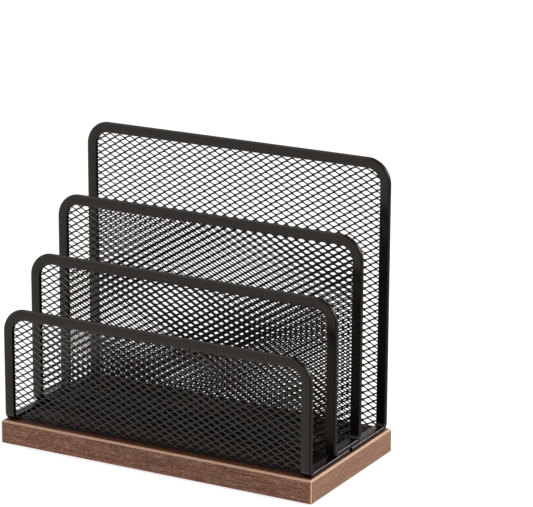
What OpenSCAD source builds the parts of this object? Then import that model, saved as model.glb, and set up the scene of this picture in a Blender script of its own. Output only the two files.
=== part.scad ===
// Desktop file sorter: a wooden base board that carries two folded trays of expanded-metal mesh.
// The outer tray makes the first and fourth uprights, and the inner tray the second and third.
// Millimetres, +Z up, front face towards -Y, origin under the middle of the feet.

/* [Base board] */
// Width of the board, left to right
board_w = 210; // [180:1:260]
// Depth of the board, front to back
board_d = 102; // [96:1:140]
// Thickness of the board, both veneers included
board_t = 14; // [11:0.5:25]
// Thickness of the veneer sheets on the top and the bottom
veneer_t = 0.6; // [0.3:0.1:1.5]
// Thickness of the four edge bands
edge_band_t = 1.5; // [1:0.1:3]
// Bevel along the board's top edges
top_bevel = 1.1; // [0.2:0.1:1.4]
// Bevel down the board's four vertical corners
corner_bevel = 0.6; // [0.2:0.1:1]

/* [Feet] */
// Diameter of a foot pad
foot_d = 12; // [6:1:18]
// Thickness of a foot pad
foot_t = 1.2; // [0.8:0.1:4]
// Distance from the board's edges to the middle of a foot pad
foot_inset = 14; // [10:1:30]

/* [Trays] */
// Width of the outer tray over its rim
outer_w = 207; // [170:1:207]
// Width of the inner tray over its rim
inner_w = 207; // [170:1:207]
// Front face of the first upright
upright_1_y = -49.2; // [-49.5:0.1:-46]
// Front face of the second upright
upright_2_y = -19.2; // [-25:0.1:-15]
// Front face of the third upright
upright_3_y = 11.8; // [8:0.1:18]
// Front face of the fourth upright
upright_4_y = 45.8; // [42:0.1:46]
// Height of the first upright above the board
upright_1_h = 70.5; // [50:0.5:85]
// Height of the second upright above the board
upright_2_h = 97.5; // [86:0.5:110]
// Height of the third upright above the board
upright_3_h = 127; // [111:0.5:140]
// Height of the fourth upright above the board
upright_4_h = 165; // [141:0.5:200]
// Outside radius of the uprights' top corners
corner_r = 15; // [10:0.5:20]
// Outside radius of the fold between an upright and the floor
fold_r = 4.5; // [4:0.1:8]

/* [Rim and mesh] */
// Width of the folded rim strip, seen on the face of an upright
rim_w = 6.4; // [5:0.1:9]
// Thickness of the rim strip over both of its leaves
rim_t = 2.8; // [2.4:0.1:3.4]
// Overall thickness of the expanded-metal mesh
mesh_t = 1; // [0.6:0.1:1.4]
// How deep the rim strip grips the mesh
rim_grip = 4.5; // [2:0.1:4.7]
// Gap where the two ends of the outer rim strip meet
outer_seam_gap = 4; // [0.5:0.1:5]
// Gap where the two ends of the inner rim strip meet
inner_seam_gap = 0.4; // [0.2:0.1:1]
// Place of the rim seams along the right-hand floor strips
seam_y = 1; // [-6:0.5:6]

/* [Fixings] */
// Distance between neighbouring screws
screw_pitch = 52; // [30:1:60]
// Diameter of the screw's shank
screw_d = 3; // [2.5:0.1:4]
// Length of the screw below its head
screw_l = 15; // [10:0.5:16]
// Diameter of the screw's head
screw_head_d = 7; // [5:0.1:8]
// Height of the screw's head
screw_head_h = 2.2; // [1.5:0.1:3]
// Diameter of the washer and of the bush's flange
washer_d = 12; // [9:0.5:14]
// Thickness of the washer
washer_t = 0.8; // [0.5:0.1:1.5]
// Diameter of the bush where it passes through the outer tray's floor
bush_d = 6.4; // [5:0.1:8]

/* [Hidden] */
$fn = 64;
eps = 0.01;
SCREWS = 4;
FEET = 4;

board_z = foot_t;                       // underside of the board
board_top = board_z + board_t;          // what the outer tray stands on
outer_z = board_top;                    // underside of the outer tray
inner_z = board_top + rim_t;            // underside of the inner tray, on the outer tray's floor strips
outer_back = upright_4_y + rim_t;       // back face of the outer tray
inner_back = upright_3_y + rim_t;       // back face of the inner tray
skin = (rim_t - mesh_t) / 2;            // thickness of one leaf of the rim strip
mesh_inset = rim_w - rim_grip;          // from the rim's outer edge to the mesh's edge
outer_floor = outer_z + skin + mesh_t;  // top of the outer tray's mesh floor
inner_floor = inner_z + skin + mesh_t;  // top of the inner tray's mesh floor
screw_y = (upright_2_y + inner_back) / 2;
clearance = 0.2;                        // round the screws in washers and bushes
hole_d = screw_d + 2 * clearance;
drive_w = 0.9;                          // width of one slot of the cross recess
drive_l = 4;                            // length of one slot of the cross recess
drive_depth = 1.2;
head_edge_h = 0.7;                      // straight side of the screw's pan head
foot_bevel = 0.3;

// ---- board ----

// Extrudes a (y, z) outline along X, centred on the origin
module along_x(length) {
    translate([-length / 2, 0, 0]) rotate([90, 0, 90]) linear_extrude(length) children();
}

// Extrudes an (x, z) outline along Y, from y0 to y1
module along_y(y0, y1) {
    translate([0, y1, 0]) rotate([90, 0, 0]) linear_extrude(y1 - y0) children();
}

// Upright section of the board, with both top edges bevelled
module board_section(width) {
    h = width / 2;
    polygon([[-h, board_z], [h, board_z], [h, board_top - top_bevel],
             [h - top_bevel, board_top], [-h + top_bevel, board_top], [-h, board_top - top_bevel]]);
}

// Plan of the board, with its four corners bevelled
module board_plan() {
    x = board_w / 2;
    y = board_d / 2;
    c = corner_bevel;
    polygon([[-x + c, -y], [x - c, -y], [x, -y + c], [x, y - c],
             [x - c, y], [-x + c, y], [-x, y - c], [-x, -y + c]]);
}

// The whole board's outside, which the edge bands are cut from
module board_envelope() {
    intersection() {
        along_x(board_w) board_section(board_d);
        along_y(-board_d / 2, board_d / 2) board_section(board_w);
        translate([0, 0, board_z]) linear_extrude(board_t) board_plan();
    }
}

// A plain sheet as wide and deep as the board inside its edge bands
module inner_sheet(z, t) {
    w = board_w - 2 * edge_band_t;
    d = board_d - 2 * edge_band_t;
    translate([-w / 2, -d / 2, z]) cube([w, d, t]);
}

// Holes that the screws have cut in the board
module screw_holes() {
    for (i = [1:SCREWS]) at_screw(i) translate([0, 0, inner_floor + washer_t - screw_l])
        cylinder(d = screw_d, h = screw_l);
}

module board_core() {
    color("#8a6b4f") difference() {
        inner_sheet(board_z + veneer_t, board_t - 2 * veneer_t);
        screw_holes();
    }
}

module top_veneer() {
    color("#5d3d2c") difference() {
        inner_sheet(board_top - veneer_t, veneer_t);
        screw_holes();
    }
}

module bottom_veneer() {
    color("#5d3d2c") inner_sheet(board_z, veneer_t);
}

// Front or back edge band, which runs the board's full width: side is -1 for the front, 1 for the back
module long_edge_band(side) {
    y0 = side < 0 ? -board_d / 2 : board_d / 2 - edge_band_t;
    color("#7a5140") intersection() {
        board_envelope();
        translate([-board_w / 2, y0, board_z]) cube([board_w, edge_band_t, board_t]);
    }
}

// Left or right edge band, which fits between the long ones: side is -1 for the left, 1 for the right
module short_edge_band(side) {
    x0 = side < 0 ? -board_w / 2 : board_w / 2 - edge_band_t;
    length = board_d - 2 * edge_band_t;
    color("#a07d68") intersection() {
        board_envelope();
        translate([x0, -length / 2, board_z]) cube([edge_band_t, length, board_t]);
    }
}

// ---- trays ----

// A (y, z) outline with straight sides, an open top and two rounded bottom corners
module round_base(y0, y1, z0, z1, r) {
    translate([y0, z0 + r]) square([y1 - y0, z1 - z0 - r]);
    translate([y0 + r, z0]) square([y1 - y0 - 2 * r, r + eps]);
    translate([y0 + r, z0 + r]) circle(r);
    translate([y1 - r, z0 + r]) circle(r);
}

// Side view of a folded blank: the layer between depths t0 and t1 below its outside
module folded_layer(y0, y1, z0, z1, t0, t1) {
    difference() {
        round_base(y0 + t0, y1 - t0, z0 + t0, z1, fold_r - t0);
        round_base(y0 + t1, y1 - t1, z0 + t1, z1 + 1, fold_r - t1);
    }
}

// Front view of one upright, shrunk by inset, from the ground up to its rounded top corners
module upright_outline(width, z_top, inset) {
    h = width / 2 - inset;
    r = corner_r - inset;
    top = z_top - inset;
    translate([-h, 0]) square([2 * h, top - r]);
    translate([-h + r, 0]) square([2 * (h - r), top]);
    for (s = [-1, 1]) translate([s * (h - r), top - r]) circle(r);
}

// The space behind both uprights' outlines, which meets halfway along the floor
module blank_space(width, y0, y1, z_front, z_back, inset) {
    y_mid = (y0 + y1) / 2;
    along_y(y0 - 1, y_mid) upright_outline(width, z_front, inset);
    along_y(y_mid, y1 + 1) upright_outline(width, z_back, inset);
}

// One layer of a tray: its folded side view cut to the outlines of its two uprights
module tray_layer(width, y0, y1, z0, z_front, z_back, t0, t1, inset) {
    intersection() {
        blank_space(width, y0, y1, z_front, z_back, inset);
        along_x(width) folded_layer(y0, y1, z0, z_back + 1, t0, t1);
    }
}

// Mesh sheet of a tray, at the middle of the rim's thickness, without its screw holes
module tray_mesh(width, y0, y1, z0, z_front, z_back) {
    tray_layer(width, y0, y1, z0, z_front, z_back, skin, skin + mesh_t, mesh_inset);
}

// Rim strip of a tray: it is folded over the mesh's edge, and its ends meet in a seam
module tray_rim(width, y0, y1, z0, z_front, z_back, seam_gap) {
    difference() {
        tray_layer(width, y0, y1, z0, z_front, z_back, 0, rim_t, 0);
        blank_space(width, y0, y1, z_front, z_back, rim_w);
        tray_mesh(width, y0, y1, z0, z_front, z_back);
        translate([0, seam_y - seam_gap / 2, z0 - 1]) cube([width, seam_gap, rim_t + 2]);
    }
}

module outer_tray_mesh() {
    color("#3a3734") difference() {
        tray_mesh(outer_w, upright_1_y, outer_back, outer_z,
                  board_top + upright_1_h, board_top + upright_4_h);
        for (i = [1:SCREWS]) at_screw(i) translate([0, 0, outer_z]) cylinder(d = bush_d, h = rim_t);
    }
}

module outer_tray_rim() {
    color("#2c2a28") tray_rim(outer_w, upright_1_y, outer_back, outer_z,
                              board_top + upright_1_h, board_top + upright_4_h, outer_seam_gap);
}

module inner_tray_mesh() {
    color("#3a3734") difference() {
        tray_mesh(inner_w, upright_2_y, inner_back, inner_z,
                  board_top + upright_2_h, board_top + upright_3_h);
        for (i = [1:SCREWS]) at_screw(i) translate([0, 0, inner_z]) cylinder(d = hole_d, h = rim_t);
    }
}

module inner_tray_rim() {
    color("#2c2a28") tray_rim(inner_w, upright_2_y, inner_back, inner_z,
                              board_top + upright_2_h, board_top + upright_3_h, inner_seam_gap);
}

// ---- fixings and feet ----

// Moves its children to screw i, in a row along the middle slot's floor
module at_screw(i) {
    translate([(i - (SCREWS + 1) / 2) * screw_pitch, screw_y, 0]) children();
}

// Pan-head screw with a cross recess, down through both floors into the board
module tray_screw(i) {
    z_head = inner_floor + washer_t;
    color("#1d1c1b") at_screw(i) difference() {
        union() {
            translate([0, 0, z_head - screw_l]) cylinder(d = screw_d, h = screw_l + eps);
            translate([0, 0, z_head]) rotate_extrude() polygon([[0, 0], [screw_head_d / 2, 0],
                [screw_head_d / 2, head_edge_h], [screw_head_d / 2 - 1, screw_head_h - 0.3],
                [screw_head_d / 2 - 2, screw_head_h], [0, screw_head_h]]);
        }
        for (a = [0, 90]) rotate([0, 0, a])
            translate([-drive_l / 2, -drive_w / 2, z_head + screw_head_h - drive_depth])
                cube([drive_l, drive_w, drive_depth + 1]);
    }
}

// Flat washer between the screw's head and the inner tray's floor
module tray_washer(i) {
    color("#2a2a2a") at_screw(i) translate([0, 0, inner_floor]) difference() {
        cylinder(d = washer_d, h = washer_t);
        translate([0, 0, -1]) cylinder(d = hole_d, h = washer_t + 2);
    }
}

// Stepped bush: its neck passes through the outer floor, and its flange carries the inner floor
module floor_bush(i) {
    color("#1b1b1b") at_screw(i) difference() {
        union() {
            translate([0, 0, board_top]) cylinder(d = bush_d, h = outer_floor - board_top + eps);
            translate([0, 0, outer_floor]) cylinder(d = washer_d, h = inner_z + skin - outer_floor);
        }
        translate([0, 0, board_top - 1]) cylinder(d = hole_d, h = inner_floor - board_top + 2);
    }
}

// Soft pad glued under a corner of the board: 1 and 2 at the front, 3 and 4 at the back
module foot_pad(i) {
    sx = i % 2 == 1 ? -1 : 1;
    sy = i <= 2 ? -1 : 1;
    r = foot_d / 2;
    color("#222222") translate([sx * (board_w / 2 - foot_inset), sy * (board_d / 2 - foot_inset), 0])
        rotate_extrude() polygon([[0, 0], [r - foot_bevel, 0], [r, foot_bevel], [r, foot_t], [0, foot_t]]);
}

board_core();
top_veneer();
bottom_veneer();
long_edge_band(-1);  // front_edge_band
long_edge_band(1);  // back_edge_band
short_edge_band(-1);  // left_edge_band
short_edge_band(1);  // right_edge_band
outer_tray_mesh();
outer_tray_rim();
inner_tray_mesh();
inner_tray_rim();
for (i = [1:SCREWS]) {
    tray_screw(i);
    tray_washer(i);
    floor_bush(i);
}
for (i = [1:FEET])
    foot_pad(i);
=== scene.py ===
"""Desktop file sorter: two folded trays of expanded-metal mesh with rolled rims, on a walnut-look board.

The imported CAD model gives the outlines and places. Lengths here are in millimetres until a mesh is made.
"""

import math

import bpy
import numpy as np
from mathutils import Matrix, Vector


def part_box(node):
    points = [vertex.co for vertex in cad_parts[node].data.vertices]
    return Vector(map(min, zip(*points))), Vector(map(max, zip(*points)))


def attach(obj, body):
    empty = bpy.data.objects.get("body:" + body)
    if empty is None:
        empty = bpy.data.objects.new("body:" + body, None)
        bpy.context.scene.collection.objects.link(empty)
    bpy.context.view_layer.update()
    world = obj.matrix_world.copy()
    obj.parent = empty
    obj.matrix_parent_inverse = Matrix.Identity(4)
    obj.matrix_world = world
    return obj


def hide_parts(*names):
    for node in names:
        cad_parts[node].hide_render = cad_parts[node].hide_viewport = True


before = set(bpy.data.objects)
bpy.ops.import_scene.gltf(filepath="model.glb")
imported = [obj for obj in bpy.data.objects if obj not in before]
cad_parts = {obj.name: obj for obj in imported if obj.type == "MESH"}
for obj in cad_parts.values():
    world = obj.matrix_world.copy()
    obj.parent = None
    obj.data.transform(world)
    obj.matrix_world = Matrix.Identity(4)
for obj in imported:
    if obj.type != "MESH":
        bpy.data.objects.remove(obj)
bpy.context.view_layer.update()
MM = 0.001

# ---- the trays' sizes, as in the CAD model ----
RIM_W = 6.4          # width of the folded rim strip
RIM_T = 2.8          # thickness of the strip over both leaves
FOLD_R = 4.5         # outside radius of the fold between an upright and the floor
CORNER_R = 15.0      # outside radius of an upright's top corners
MESH_INSET = 1.9     # from the strip's outer edge to the mesh's edge
SEAM_Y = 1.0         # where the strip's two ends meet, on the right-hand floor strip
OUTER_SEAM_GAP = 4.0
INNER_SEAM_GAP = 0.4
SCREWS = range(1, 5)    # their numbers in the nodes' names
FEET = range(1, 5)

# ---- the rim strip's section and its facets ----
LEAF_T = 0.85        # thickness of one leaf of the strip
EDGE_R = 0.15        # rounding of the leaves' cut edges
BEND_SHARE = 0.9     # the bend's inside radius, as a share of half the gap between the leaves
CORNER_STEPS = 16    # facets round an upright's top corner
TOP_STEPS = 12       # facets along an upright's top
SIDE_STEPS = (6, 10, 6, 10, 10)    # facets along a side: front upright, fold, floor, fold, back upright
SMOOTH_ANGLE = 32    # degrees; sharper edges stay sharp

# ---- expanded metal ----
LONG_WAY = 7.0       # a diamond's length, along X
SHORT_WAY = 4.3      # a diamond's height, along the blank
STRAND_W = 1.07      # a strand's width, across the slit sheet
STRAND_T = 0.36      # a strand's thickness
STRAND_TILT = math.radians(-15)    # of a strand's section, out of the plane of the mesh
STRAND_CHAMFER = (0.25, 0.09)    # the size of a chamfer, across a strand and through its thickness
KNUCKLE_FLAT = 0.9   # length of the flat where two strands are joined
KNUCKLE_WELD = 0.8   # share of a strand's width that neighbours are apart at a knuckle
END_MARGIN = 0.05    # least distance from a strand's cut end to its nearest bend
BUSH_HOLE_R = 3.3    # holes in the outer mesh, clear of the bushes
SCREW_HOLE_R = 1.8   # holes in the inner mesh, clear of the screws


def node_points(node):
    """A CAD node's vertices in millimetres."""
    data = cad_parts[node].data
    coordinates = np.empty(len(data.vertices) * 3)
    data.vertices.foreach_get("co", coordinates)
    return coordinates.reshape(-1, 3) / MM


def mesh_object(name, points, faces, material, smooth_angle=None):
    """A new object from points in millimetres."""
    data = bpy.data.meshes.new(name)
    data.from_pydata((np.asarray(points) * MM).tolist(), [], faces)
    data.validate()
    data.materials.append(material)
    if smooth_angle is not None:
        data.shade_smooth()
        data.set_sharp_from_angle(angle=math.radians(smooth_angle))
    data.update()
    piece = bpy.data.objects.new(name, data)
    bpy.context.scene.collection.objects.link(piece)
    return piece


class Tray:
    """One folded blank.

    A place on it is (x, s, n). s runs along the middle of its thickness: down the front upright, back along
    the floor and up the back upright. n stands out from the tray's outside.
    """

    def __init__(self, rim_node):
        points = node_points(rim_node)
        low, high = points.min(0), points.max(0)
        is_front = points[:, 1] < (low[1] + high[1]) / 2
        self.half_w = high[0]
        self.y0, self.y1, self.z0 = low[1], high[1], low[2]
        self.z_front, self.z_back = points[is_front, 2].max(), high[2]
        self.mid_r = FOLD_R - RIM_T / 2
        arc = self.mid_r * math.pi / 2
        self.fold_1 = self.z_front - self.z0 - FOLD_R
        self.floor_start = self.fold_1 + arc
        self.fold_2 = self.floor_start + self.y1 - self.y0 - 2 * FOLD_R
        self.back_start = self.fold_2 + arc
        self.length = self.back_start + self.z_back - self.z0 - FOLD_R

    def folded(self, x, s, n):
        """Points in space for arrays of places on the blank."""
        x, s, n = np.broadcast_arrays(x, s, n)
        r = self.mid_r + n
        turn_1 = np.clip((s - self.fold_1) / self.mid_r, 0, math.pi / 2)
        turn_2 = np.clip((s - self.fold_2) / self.mid_r, 0, math.pi / 2)
        along = np.clip(s - self.floor_start, 0, self.fold_2 - self.floor_start)
        down = np.minimum(s - self.fold_1, 0)
        up = np.maximum(s - self.back_start, 0)
        y = self.y0 + FOLD_R + along + r * (np.sin(turn_2) - np.cos(turn_1))
        z = self.z0 + FOLD_R - down + up - r * (np.sin(turn_1) + np.cos(turn_2) - 1)
        return np.stack([x, y, z], axis=-1)

    def half_width(self, s, inset):
        """Half the blank's width at s, with its outline drawn in by inset."""
        r = CORNER_R - inset
        from_end = np.minimum(s, self.length - s) - inset
        cut = np.clip(r - from_end, 0, r)
        return self.half_w - inset - (r - math.sqrt(r * r - cut * cut))

    def floor_s(self, y):
        """Where on the blank a place y on the floor is."""
        return self.floor_start + y - self.y0 - FOLD_R


# ---- expanded-metal mesh ----

def strand_section():
    """The eight corners of a strand's chamfered section, tilted, as (s, n) offsets from its middle."""
    w, t = STRAND_W / 2, STRAND_T / 2
    flat, side = w - STRAND_CHAMFER[0], t - STRAND_CHAMFER[1]
    corners = [
        (w, -side), (w, side), (flat, t), (-flat, t),
        (-w, side), (-w, -side), (-flat, -t), (flat, -t),
    ]
    sin, cos = math.sin(STRAND_TILT), math.cos(STRAND_TILT)
    return np.array([(a * cos - b * sin, a * sin + b * cos) for a, b in corners])


def strand_middle(row, half):
    """Stations (x, s offset from the row, n) along the strand that zigzags between two rows of knuckles."""
    pitch = LONG_WAY / 2
    columns = np.arange(-math.ceil(half / pitch) - 1, math.ceil(half / pitch) + 2)
    at_near = (columns + row) % 2 == 0
    apart = STRAND_W / 2 * KNUCKLE_WELD
    from_row = apart * math.cos(STRAND_TILT)
    offset = np.where(at_near, from_row, SHORT_WAY / 2 - from_row)
    lift = np.where(at_near, apart, -apart) * math.sin(STRAND_TILT)
    middle = columns * pitch
    x = np.stack([middle - KNUCKLE_FLAT / 2, middle + KNUCKLE_FLAT / 2], 1).ravel()
    return x, np.repeat(offset, 2), np.repeat(lift, 2)


def open_spans(half, s, holes):
    """The stretches of x between -half and half that no hole (x, s, radius) cuts."""
    cuts = [(-math.inf, -half), (half, math.inf)]
    for hole_x, hole_s, radius in holes:
        reach = radius ** 2 - (s - hole_s) ** 2
        if reach > 0:
            cuts.append((hole_x - math.sqrt(reach), hole_x + math.sqrt(reach)))
    cuts.sort()
    return [(a[1], b[0]) for a, b in zip(cuts, cuts[1:]) if b[0] > a[1]]


def mesh_panel(name, tray, rows, holes=()):
    """The strands of some rows of a tray's mesh, each a closed bar, folded with the blank."""
    section = strand_section()
    ring = len(section)
    turns = [(j, (j + 1) % ring) for j in range(ring)]
    points, faces, count = [], [], 0
    for row in rows:
        s_row = MESH_INSET + STRAND_T + row * SHORT_WAY / 2
        s_mid = s_row + SHORT_WAY / 4
        half = min(tray.half_width(s, MESH_INSET) for s in (s_row, s_row + SHORT_WAY / 2))
        line_x, line_s, line_n = strand_middle(row, half)
        for x0, x1 in open_spans(half, s_mid, holes):
            bends = line_x[(line_x > x0 + END_MARGIN) & (line_x < x1 - END_MARGIN)]
            x = np.concatenate([[x0], bends, [x1]])
            s = s_row + np.interp(x, line_x, line_s)[:, None] + section[:, 0]
            n = np.interp(x, line_x, line_n)[:, None] + section[:, 1]
            points.append(tray.folded(x[:, None], s, n).reshape(-1, 3))
            last = count + (len(x) - 1) * ring
            for a in range(count, last, ring):
                faces += [(a + j, a + k, a + ring + k, a + ring + j) for j, k in turns]
            faces.append(tuple(range(count + ring - 1, count - 1, -1)))
            faces.append(tuple(range(last, last + ring)))
            count = last + ring
    return mesh_object(name, np.concatenate(points), faces, black_coat("mesh_coat"))


def tray_mesh(prefix, node, tray, holes):
    """A tray's mesh in three pieces: the front upright, the floor with the folds, and the back upright."""
    pitch = SHORT_WAY / 2
    rows = int((tray.length - 2 * MESH_INSET - 2 * STRAND_T) // pitch)
    front = int((tray.fold_1 - MESH_INSET) // pitch)
    back = int((tray.back_start - MESH_INSET) // pitch) + 1
    for part, span in (("front", range(front)), ("floor", range(front, back)), ("back", range(back, rows))):
        piece = mesh_panel(f"{prefix}_mesh_{part}", tray, span, holes if part == "floor" else ())
        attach(piece, "root")
        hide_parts(node)


# ---- rim strips ----

def arc_points(cx, cy, r, start, end, steps):
    """Points on an arc, with angles in degrees."""
    angles = np.radians(np.linspace(start, end, steps + 1))
    return [(cx + r * math.cos(a), cy + r * math.sin(a)) for a in angles]


def rim_section():
    """The folded strip's section, as points (d, n) in order round it.

    d runs in from its outer edge, and the mouth that takes the mesh is at RIM_W.
    """
    t = RIM_T / 2
    gap = t - LEAF_T
    bend_r = gap * BEND_SHARE
    upper = arc_points(t, 0, t, 180, 90, steps=7)
    upper += arc_points(RIM_W - EDGE_R, t - EDGE_R, EDGE_R, 90, 0, steps=3)
    upper += arc_points(RIM_W - EDGE_R, gap + EDGE_R, EDGE_R, 0, -90, steps=3)
    upper += arc_points(LEAF_T + bend_r, gap - bend_r, bend_r, 90, 180, steps=3)
    lower = [(d, -n) for d, n in reversed(upper[1:])]
    return np.array(upper + lower)


def side_stops(tray):
    """Values of s for stations down one side of a blank, closer together round its folds."""
    stops = [CORNER_R]
    ends = (tray.fold_1, tray.floor_start, tray.fold_2, tray.back_start, tray.length - CORNER_R)
    for end, steps in zip(ends, SIDE_STEPS):
        stops += list(np.linspace(stops[-1], end, steps + 1)[1:])
    return np.array(stops)


def rim_stations(tray, seam_gap):
    """Stations (x, s, inward x, inward s) round the blank's edge, from one side of the seam to the other."""
    w, r, length = tray.half_w, CORNER_R, tray.length
    corner_x = w - r
    leftward = np.linspace(corner_x, -corner_x, TOP_STEPS + 1)[1:]
    stops = side_stops(tray)
    seam = tray.floor_s(SEAM_Y)
    near, far = seam - seam_gap / 2, seam + seam_gap / 2

    def corner(x0, s0, first, last):
        arc = arc_points(x0, s0, r, first, last, CORNER_STEPS)[1:]
        return [(x, s, (x0 - x) / r, (s0 - s) / r) for x, s in arc]

    stations = [(w, s, -1, 0) for s in [near, *stops[stops < near][::-1]]]
    stations += corner(corner_x, r, 0, -90)
    stations += [(x, 0, 0, 1) for x in leftward]
    stations += corner(-corner_x, r, -90, -180)
    stations += [(-w, s, 1, 0) for s in stops[1:]]
    stations += corner(-corner_x, length - r, 180, 90)
    stations += [(-x, length, 0, -1) for x in leftward]
    stations += corner(corner_x, length - r, 90, 0)
    stations += [(w, s, -1, 0) for s in [*stops[stops > far][::-1][1:], far]]
    return np.array(stations, float)


def tray_rim(name, node, tray, seam_gap):
    """The folded strip round a tray's edge, as one swept piece with two closed ends."""
    section = rim_section()
    ring = len(section)
    turns = [(j, (j + 1) % ring) for j in range(ring)]
    x, s, dx, ds = rim_stations(tray, seam_gap).T[:, :, None]
    points = tray.folded(x + section[:, 0] * dx, s + section[:, 0] * ds, section[:, 1]).reshape(-1, 3)
    last = len(points) - ring
    faces = [tuple(range(ring)), tuple(range(last + ring - 1, last - 1, -1))]
    for a in range(0, last, ring):
        faces += [(a + j, a + ring + j, a + ring + k, a + k) for j, k in turns]
    piece = mesh_object(name, points, faces, black_coat("rim_coat"), smooth_angle=SMOOTH_ANGLE)
    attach(piece, "root")
    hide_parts(node)


# ---- materials ----

def new_material(name):
    """A new node material, as (material, its node tree, its Principled node)."""
    material = bpy.data.materials.new(name)
    material.use_nodes = True
    tree = material.node_tree
    shader = next(n for n in tree.nodes if n.type == "BSDF_PRINCIPLED")
    return material, tree, shader


def stretched_coordinates(tree, scale):
    """Object coordinates, in metres, times a scale along each axis."""
    coordinates = tree.nodes.new("ShaderNodeTexCoord")
    mapping = tree.nodes.new("ShaderNodeMapping")
    mapping.inputs["Scale"].default_value = scale
    tree.links.new(coordinates.outputs["Object"], mapping.inputs["Vector"])
    return mapping.outputs["Vector"]


def noise(tree, vector, scale, detail=3.0, roughness=0.55):
    """A noise texture's value. scale counts its cells per metre, or per unit of a stretched vector."""
    texture = tree.nodes.new("ShaderNodeTexNoise")
    texture.inputs["Scale"].default_value = scale
    texture.inputs["Detail"].default_value = detail
    texture.inputs["Roughness"].default_value = roughness
    tree.links.new(vector, texture.inputs["Vector"])
    return texture.outputs["Fac"]


def ramp(tree, factor, stops):
    """A colour ramp with (position, grey or RGB) stops."""
    node = tree.nodes.new("ShaderNodeValToRGB")
    elements = node.color_ramp.elements
    while len(elements) < len(stops):
        elements.new(0.5)
    for element, (position, colour) in zip(elements, stops):
        rgb = colour if isinstance(colour, tuple) else (colour,) * 3
        element.position = position
        element.color = (*rgb, 1)
    tree.links.new(factor, node.inputs["Fac"])
    return node.outputs["Color"]


def bump(tree, shader, height, strength, distance_mm):
    """Gives the shader a bumped surface."""
    node = tree.nodes.new("ShaderNodeBump")
    node.inputs["Strength"].default_value = strength
    node.inputs["Distance"].default_value = distance_mm * MM
    tree.links.new(height, node.inputs["Height"])
    tree.links.new(node.outputs["Normal"], shader.inputs["Normal"])


def maths(tree, operation, a, b):
    """A Math node; a and b are sockets or numbers."""
    node = tree.nodes.new("ShaderNodeMath")
    node.operation = operation
    for socket, value in zip(node.inputs, (a, b)):
        if isinstance(value, (int, float)):
            socket.default_value = value
        else:
            tree.links.new(value, socket)
    return node.outputs[0]


def mixed(tree, factor, a, b, blend="MIX"):
    """Colour a turned into b by factor; each is a socket or a value."""
    node = tree.nodes.new("ShaderNodeMix")
    node.data_type = "RGBA"
    node.blend_type = blend
    colours = [i for i in node.inputs if i.type == "RGBA"]
    blend_factor = next(i for i in node.inputs if i.name == "Factor")
    for socket, value in zip([blend_factor, *colours], (factor, a, b)):
        if isinstance(value, (int, float)):
            socket.default_value = value
        elif isinstance(value, tuple):
            socket.default_value = (*value, 1)
        else:
            tree.links.new(value, socket)
    return next(o for o in node.outputs if o.type == "RGBA")


def largest_part(tree, vector, scale):
    """The largest of a vector's three parts, whatever their signs, each times its own scale."""
    parts = tree.nodes.new("ShaderNodeSeparateXYZ")
    tree.links.new(vector, parts.inputs[0])
    sizes = [maths(tree, "ABSOLUTE", part, 0) for part in parts.outputs]
    x, y, z = (maths(tree, "MULTIPLY", size, k) for size, k in zip(sizes, scale))
    return maths(tree, "MAXIMUM", maths(tree, "MAXIMUM", x, y), z)


COAT_TONES = (0.0010, 0.0007, 0.0005), (0.0016, 0.0012, 0.0010)
COAT_SPECKLE = [(0.35, (0.0005, 0.0004, 0.0003)), (0.7, (0.003, 0.0023, 0.0019))]
SPECKLE_SHARE = 0.35
COAT_GLOSS_TINT = (1.0, 0.86, 0.76, 1)


def black_coat(name):
    """Satin black powder coat: near-black, with the fine orange peel and dusting of such a coat."""
    if name in bpy.data.materials:
        return bpy.data.materials[name]
    material, tree, shader = new_material(name)
    vector = stretched_coordinates(tree, (1, 1, 1))
    peel = noise(tree, vector, scale=2600, detail=2)
    patches = noise(tree, vector, scale=60)
    tone = mixed(tree, patches, *COAT_TONES)
    colour = mixed(tree, SPECKLE_SHARE, tone, ramp(tree, peel, COAT_SPECKLE))
    tree.links.new(colour, shader.inputs["Base Color"])
    tree.links.new(ramp(tree, peel, [(0.3, 0.20), (0.7, 0.30)]), shader.inputs["Roughness"])
    shader.inputs["IOR"].default_value = 1.45
    shader.inputs["Specular Tint"].default_value = COAT_GLOSS_TINT
    bump(tree, shader, peel, strength=0.25, distance_mm=0.03)
    return material


PALE_WOOD = (0.48, 0.305, 0.195)
WORN_FLECK = (0.25, 0.14, 0.085)
# painted light: the lighter tone for the short edges, whose sides are lit more brightly
PAINTED_LIGHT_TONE = (0.42, 0.30, 0.21)
WARM_TINT = (0.70, 0.52, 0.28)
# painted shade: the near-black colour of the top inside the trays' outline
PAINTED_TRAY_SHADE = (0.004, 0.002, 0.001)
GRAIN_TONES = [
    (0.41, (0.050, 0.0135, 0.004)), (0.47, (0.116, 0.036, 0.012)),
    (0.53, (0.168, 0.056, 0.021)), (0.59, (0.275, 0.132, 0.070)),
]
GRAIN_SHARES = {"flecks": 0.68, "streaks": 0.24, "broad": 0.08}
BEVEL_FLATNESS = 0.9    # the largest part of a bevel's normal is less than this


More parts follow.
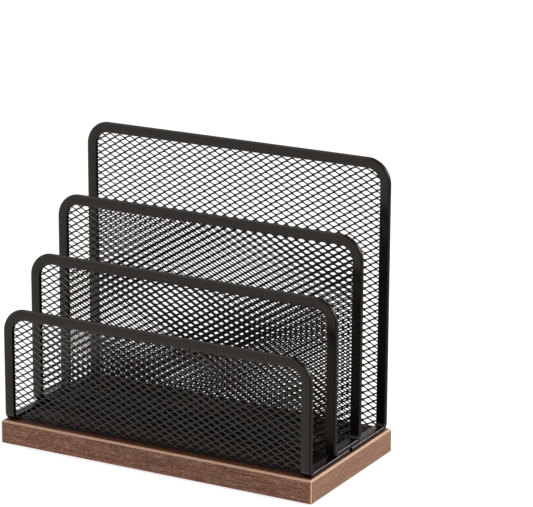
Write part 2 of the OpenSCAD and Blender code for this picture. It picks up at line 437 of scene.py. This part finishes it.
def wood(name, grain_axis, finish=None, lift=0.0):
    """Walnut-look foil: short fine flecks and faint long streaks along grain_axis.

    lift mixes in a lighter tone, painted light for sides lit more brightly, and finish changes the colour by
    place.
    """
    material, tree, shader = new_material(name)

    def grain(length_mm, width_mm):
        scale = [1 / (width_mm * MM)] * 3
        scale[grain_axis] = 1 / (length_mm * MM)
        return stretched_coordinates(tree, tuple(scale))

    flecks = noise(tree, grain(length_mm=2.4, width_mm=0.35), scale=1, roughness=0.65)
    streaks = noise(tree, grain(length_mm=16, width_mm=0.9), scale=1)
    broad = noise(tree, grain(length_mm=60, width_mm=6), scale=1, detail=2)
    fine_part = maths(tree, "MULTIPLY", flecks, GRAIN_SHARES["flecks"])
    long_part = maths(tree, "MULTIPLY", streaks, GRAIN_SHARES["streaks"])
    broad_part = maths(tree, "MULTIPLY", broad, GRAIN_SHARES["broad"])
    height = maths(tree, "ADD", fine_part, maths(tree, "ADD", long_part, broad_part))
    colour = mixed(tree, lift, ramp(tree, height, GRAIN_TONES), PAINTED_LIGHT_TONE)
    if finish:
        colour = finish(tree, colour, flecks)
    tree.links.new(colour, shader.inputs["Base Color"])
    tree.links.new(ramp(tree, streaks, [(0.3, 0.62), (0.7, 0.48)]), shader.inputs["Roughness"])
    bump(tree, shader, flecks, strength=0.3, distance_mm=0.05)
    return material


def sanded_bevels(tree, colour, flecks):
    """The pale wood that shows where the bevels were sanded through the foil."""
    geometry = tree.nodes.new("ShaderNodeNewGeometry")
    flatness = largest_part(tree, geometry.outputs["True Normal"], (1, 1, 1))
    worn = mixed(tree, ramp(tree, flecks, [(0.38, 0.5), (0.58, 0.0)]), PALE_WOOD, WORN_FLECK)
    return mixed(tree, maths(tree, "LESS_THAN", flatness, BEVEL_FLATNESS), colour, worn)


def painted_shade_under_trays(tree, colour, flecks):
    """A warmer margin, and painted shade: a near-black middle inside the trays' outline, where the trays
    shade the top.
    """
    coordinates = tree.nodes.new("ShaderNodeTexCoord")
    outline = (1 / (outer.half_w * MM), 1 / (-outer.y0 * MM), 0)
    place = largest_part(tree, coordinates.outputs["Object"], outline)
    warm = mixed(tree, 1.0, colour, WARM_TINT, "MULTIPLY")
    # painted shade: near black inside the trays' outline, the warm colour at the margin
    return mixed(tree, ramp(tree, place, [(0.88, 0.75), (0.94, 0.0)]), warm, PAINTED_TRAY_SHADE)


def pressed_board():
    """The core: tan pressed fibre with darker flecks."""
    material, tree, shader = new_material("pressed_board")
    vector = stretched_coordinates(tree, (1, 1, 1))
    flecks = noise(tree, vector, scale=900, detail=4, roughness=0.7)
    colour = ramp(tree, flecks, [(0.35, (0.16, 0.09, 0.05)), (0.6, (0.42, 0.28, 0.17))])
    tree.links.new(colour, shader.inputs["Base Color"])
    shader.inputs["Roughness"].default_value = 0.9
    bump(tree, shader, flecks, strength=0.4, distance_mm=0.1)
    return material


TONE_SPREAD = (0.6, 1.5)    # a dark part's darkest and lightest tone, over its own
ROUGHNESS_SPREAD = 0.08    # how far a dark part's roughness varies either way


def dark_solid(name, tone, roughness, grain, depth_mm, metal=0.0):
    """A dark part with a fine, slightly uneven surface: black oxide, nylon or rubber."""
    material, tree, shader = new_material(name)
    vector = stretched_coordinates(tree, (1, 1, 1))
    fine = noise(tree, vector, scale=grain)
    colour = ramp(tree, fine, [(0.3, tone * TONE_SPREAD[0]), (0.7, tone * TONE_SPREAD[1])])
    polish = ramp(tree, fine, [(0.3, roughness - ROUGHNESS_SPREAD), (0.7, roughness + ROUGHNESS_SPREAD)])
    tree.links.new(colour, shader.inputs["Base Color"])
    tree.links.new(polish, shader.inputs["Roughness"])
    shader.inputs["Metallic"].default_value = metal
    bump(tree, shader, fine, strength=0.3, distance_mm=depth_mm)
    return material


def dress(node, material):
    """Gives a CAD node that stays its finish."""
    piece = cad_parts[node]
    piece.data.materials.clear()
    piece.data.materials.append(material)


# ---- build ----

outer = Tray("outer_tray_rim")
inner = Tray("inner_tray_rim")
screws = [sum(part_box(f"tray_screw_{i}"), Vector()) / 2 / MM for i in SCREWS]

tray_mesh("outer", "outer_tray_mesh", outer, [(p.x, outer.floor_s(p.y), BUSH_HOLE_R) for p in screws])
tray_mesh("inner", "inner_tray_mesh", inner, [(p.x, inner.floor_s(p.y), SCREW_HOLE_R) for p in screws])
tray_rim("outer_rim_strip", "outer_tray_rim", outer, OUTER_SEAM_GAP)
tray_rim("inner_rim_strip", "inner_tray_rim", inner, INNER_SEAM_GAP)

X_AXIS, Y_AXIS = 0, 1
long_wood = wood("walnut_long_edge", X_AXIS, sanded_bevels)
# painted light: the short edges are lightened as if lit more brightly
short_wood_painted_light = wood("walnut_short_edge", Y_AXIS, sanded_bevels, lift=0.17)
for node, material in (
    ("board_core", pressed_board()),
    # the top veneer carries painted shade inside the trays' outline
    ("top_veneer", wood("walnut_top", X_AXIS, painted_shade_under_trays)),
    ("bottom_veneer", wood("walnut_underside", X_AXIS)),
    ("front_edge_band", long_wood), ("back_edge_band", long_wood),
    ("left_edge_band", short_wood_painted_light), ("right_edge_band", short_wood_painted_light),
):
    dress(node, material)

oxide = dark_solid("black_oxide", tone=0.02, roughness=0.35, grain=3000, depth_mm=0.01, metal=0.6)
nylon = dark_solid("black_nylon", tone=0.012, roughness=0.5, grain=1500, depth_mm=0.02)
rubber = dark_solid("foot_rubber", tone=0.02, roughness=0.8, grain=1200, depth_mm=0.05)
for i in SCREWS:
    dress(f"tray_screw_{i}", oxide)
    dress(f"tray_washer_{i}", oxide)
    dress(f"floor_bush_{i}", nylon)
for i in FEET:
    dress(f"foot_pad_{i}", rubber)


# ---- floor, light and camera ----

FLOOR_DROP = 0.1     # how far the floor is below the feet
LAMP_AIM = Vector((0, 0, 0.08))    # the point that the softboxes face, in metres
DARK_PANEL = (0.03, 0.03, 0.03)


def floor(size, glow):
    """A pale floor, with a glow of its own that keeps the shadows on it faint. Gloss doesn't mirror it."""
    data = bpy.data.meshes.new("floor")
    h, z = size / 2, -FLOOR_DROP * MM
    data.from_pydata([(-h, -h, z), (h, -h, z), (h, h, z), (-h, h, z)], [], [(0, 1, 2, 3)])
    material, tree, shader = new_material("floor_paper")
    shader.inputs["Base Color"].default_value = (0.35, 0.35, 0.35, 1)
    shader.inputs["Roughness"].default_value = 0.9
    shader.inputs["Specular IOR Level"].default_value = 0.0
    shader.inputs["Emission Color"].default_value = (1, 1, 1, 1)
    shader.inputs["Emission Strength"].default_value = glow
    data.materials.append(material)
    plane = bpy.data.objects.new("floor", data)
    bpy.context.scene.collection.objects.link(plane)
    plane.visible_glossy = False


def softbox(name, direction, distance, size, power):
    """A square area light that faces LAMP_AIM from a direction and a distance in metres."""
    lamp = bpy.data.lights.new(name, "AREA")
    lamp.shape = "SQUARE"
    lamp.size = size
    lamp.energy = power
    light = bpy.data.objects.new(name, lamp)
    towards = Vector(direction).normalized()
    light.location = LAMP_AIM + towards * distance
    light.rotation_euler = towards.to_track_quat("Z", "Y").to_euler()
    bpy.context.scene.collection.objects.link(light)


def studio_world(walls, ceiling, ground):
    """Studio walls of light and dark panels, between a ceiling and a ground.

    A wall panel is (degrees from -Y towards +X, level), and a panel of the ceiling or the ground is
    (x of the direction, level). The ceiling is dark towards the back.
    """
    world = bpy.data.worlds.new("studio")
    world.use_nodes = True
    tree = world.node_tree
    background = next(n for n in tree.nodes if n.type == "BACKGROUND")
    coordinates = tree.nodes.new("ShaderNodeTexCoord")
    parts = tree.nodes.new("ShaderNodeSeparateXYZ")
    tree.links.new(coordinates.outputs["Generated"], parts.inputs[0])
    frontward = maths(tree, "MULTIPLY", parts.outputs["Y"], -1)
    downward = maths(tree, "MULTIPLY", parts.outputs["Z"], -1)
    angle = maths(tree, "ARCTAN2", parts.outputs["X"], frontward)
    turn = maths(tree, "ADD", maths(tree, "MULTIPLY", angle, 0.5 / math.pi), 0.5)
    across = maths(tree, "ADD", maths(tree, "MULTIPLY", parts.outputs["X"], 0.5), 0.5)
    brightest = max(level for _, level in walls + ceiling + ground)
    sides = ramp(tree, turn, [((degrees + 180) / 360, level / brightest) for degrees, level in walls])
    above = ramp(tree, across, [((x + 1) / 2, level / brightest) for x, level in ceiling])
    below = ramp(tree, across, [((x + 1) / 2, level / brightest) for x, level in ground])
    at_back = ramp(tree, parts.outputs["Y"], [(0.15, 0.0), (0.45, 1.0)])
    above = mixed(tree, at_back, above, DARK_PANEL)
    height = ramp(tree, parts.outputs["Z"], [(0.45, 0.0), (0.60, 1.0)])
    depth = ramp(tree, downward, [(0.45, 0.0), (0.57, 1.0)])
    colour = mixed(tree, depth, mixed(tree, height, sides, above), below)
    tree.links.new(colour, background.inputs["Color"])
    background.inputs["Strength"].default_value = brightest
    bpy.context.scene.world = world


def add_camera(azimuth, elevation, roll, target, distance, lens):
    """A camera that looks at target, from an azimuth (from -Y towards +X) and an elevation, in degrees."""
    a, e = math.radians(azimuth), math.radians(elevation)
    back = Vector((math.sin(a) * math.cos(e), -math.cos(a) * math.cos(e), math.sin(e)))
    right = Vector((math.cos(a), math.sin(a), 0))
    level = Matrix((right, back.cross(right), back)).transposed()
    turn = level @ Matrix.Rotation(math.radians(roll), 3, "Z")
    data = bpy.data.cameras.new("camera")
    data.lens = lens
    data.sensor_width = 36
    data.clip_start, data.clip_end = 0.05, 50
    camera = bpy.data.objects.new("camera", data)
    camera.matrix_world = Matrix.Translation(Vector(target) + back * distance) @ turn.to_4x4()
    bpy.context.scene.collection.objects.link(camera)
    bpy.context.scene.camera = camera


floor(size=12, glow=0.80)
studio_world(
    walls=[
        (-180, 2.6), (-171, 0.8), (-160, 1.2), (-147, 1.2), (-139, 0.3), (-120, 0.3), (-105, 1.0),
        (-20, 1.0), (8, 0.3), (42, 0.3), (62, 0.9), (112, 0.9), (140, 0.2), (169, 0.2), (180, 2.6),
    ],
    ceiling=[(-0.75, 0.06), (-0.62, 1.8), (-0.32, 1.8), (-0.2, 0.06), (1, 0.06)],
    ground=[(-0.85, 1.7), (-0.5, 1.6), (-0.2, 1.1), (0.1, 1.0), (0.4, 0.5)],
)
softbox("key_right", direction=(0.85, -0.12, 0.52), distance=1.3, size=0.7, power=15)
softbox("back_right", direction=(0.42, 0.84, 0.33), distance=1.3, size=0.3, power=2.5)
softbox("top_back", direction=(0.2, 0.55, 0.81), distance=1.3, size=0.35, power=4)
add_camera(
    azimuth=28.625, elevation=15.918, roll=0.335, target=(0.0474, 0, 0.12776), distance=1.5733, lens=184.16,
)
bpy.context.scene.view_settings.view_transform = "Standard"
